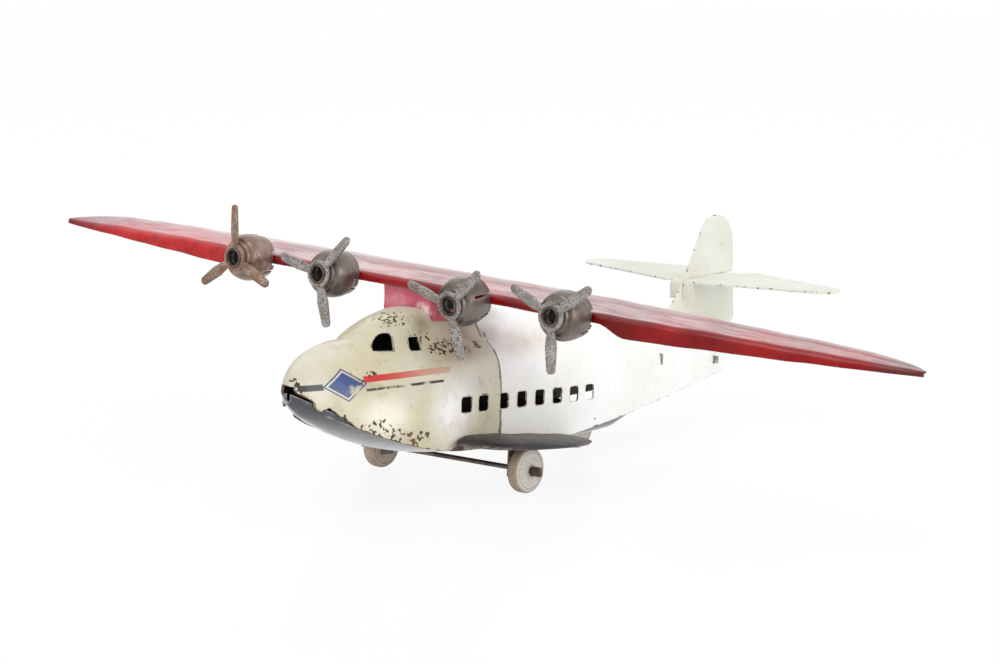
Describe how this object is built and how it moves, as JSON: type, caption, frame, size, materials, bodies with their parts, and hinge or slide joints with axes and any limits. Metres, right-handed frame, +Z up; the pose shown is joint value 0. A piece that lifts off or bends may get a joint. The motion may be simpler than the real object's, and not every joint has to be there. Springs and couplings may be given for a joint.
{
  "type": "toy airplane",
  "caption": "Pressed steel toy flying boat on wooden wheels, with a hollow fuselage, a wing on a strut box, and engines with free-spinning propellers.",
  "frame": {"origin": "on the table, midway along and across the toy as it stands on its wheels", "axes": "+X across to the port wing tip, +Y from nose to tail, +Z up from the table"},
  "size_m": [0.3297, 0.2188, 0.0805],
  "materials": {
    "cream_paint": "aged cream enamel with rust specks",
    "tail_paint": "cream enamel with chipped edges",
    "red_paint": "glossy red enamel, scratched",
    "dark_paint": "dark enamel, rubbed",
    "cowl_steel": "dull steel with brown rust",
    "eyelet_steel": "dark steel",
    "propeller_steel": "pitted grey steel",
    "rusty_steel": "brown rusted steel",
    "axle_steel": "brown rusted wire and strip",
    "wheel_wood": "turned wood, worn paint"
  },
  "bodies": {
    "airplane": {"fuselage_front": "cream_paint", "fuselage_rear": "cream_paint", "hull_bottom": "dark_paint", "sponson_port": "dark_paint", "sponson_starboard": "dark_paint", "pylon": "red_paint", "wing": "red_paint", "fin": "tail_paint", "stabilizer": "tail_paint", "tail_tie_front": "axle_steel", "tail_tie_rear": "axle_steel", "cowl_outer_port": "cowl_steel", "cowl_inner_port": "cowl_steel", "cowl_inner_starboard": "cowl_steel", "cowl_outer_starboard": "cowl_steel", "eyelet_outer_port": "eyelet_steel", "eyelet_inner_port": "eyelet_steel", "eyelet_inner_starboard": "eyelet_steel", "eyelet_outer_starboard": "eyelet_steel", "axle_hanger_port": "dark_paint", "axle_hanger_starboard": "dark_paint", "front_axle": "axle_steel", "rear_wheel_bracket": "dark_paint", "rear_axle_pin": "axle_steel"},
    "propeller_outer_port_body": {"propeller_outer_port": "propeller_steel"},
    "propeller_inner_port_body": {"propeller_inner_port": "propeller_steel"},
    "propeller_inner_starboard_body": {"propeller_inner_starboard": "propeller_steel"},
    "propeller_outer_starboard_body": {"propeller_outer_starboard": "rusty_steel"},
    "front_wheel_port_body": {"front_wheel_port": "wheel_wood"},
    "front_wheel_starboard_body": {"front_wheel_starboard": "wheel_wood"},
    "rear_wheel_body": {"rear_wheel": "wheel_wood"}
  },
  "joints": [
    {"name": "propeller_outer_port_spin", "type": "hinge", "parent": "airplane", "child": "propeller_outer_port_body", "pos_m": [0.06135, -0.06759, 0.05874], "axis": [0, -0.9969, 0.0785], "continuous": true},
    {"name": "propeller_inner_port_spin", "type": "hinge", "parent": "airplane", "child": "propeller_inner_port_body", "pos_m": [0.02529, -0.06843, 0.05839], "axis": [-0.0082, -0.9954, -0.0957], "continuous": true},
    {"name": "propeller_inner_starboard_spin", "type": "hinge", "parent": "airplane", "child": "propeller_inner_starboard_body", "pos_m": [-0.02555, -0.06826, 0.06291], "axis": [0, -0.9969, 0.0785], "continuous": true},
    {"name": "propeller_outer_starboard_spin", "type": "hinge", "parent": "airplane", "child": "propeller_outer_starboard_body", "pos_m": [-0.06151, -0.06713, 0.06452], "axis": [0, -0.9969, 0.0785], "continuous": true},
    {"name": "front_wheel_port_spin", "type": "hinge", "parent": "airplane", "child": "front_wheel_port_body", "pos_m": [0.0295, -0.03909, 0.00675], "axis": [1, 0, 0], "continuous": true},
    {"name": "front_wheel_starboard_spin", "type": "hinge", "parent": "airplane", "child": "front_wheel_starboard_body", "pos_m": [-0.0274, -0.03909, 0.00675], "axis": [1, 0, 0], "continuous": true},
    {"name": "rear_wheel_spin", "type": "hinge", "parent": "airplane", "child": "rear_wheel_body", "pos_m": [0, 0.02261, 0.00675], "axis": [1, 0, 0], "continuous": true}
  ]
}
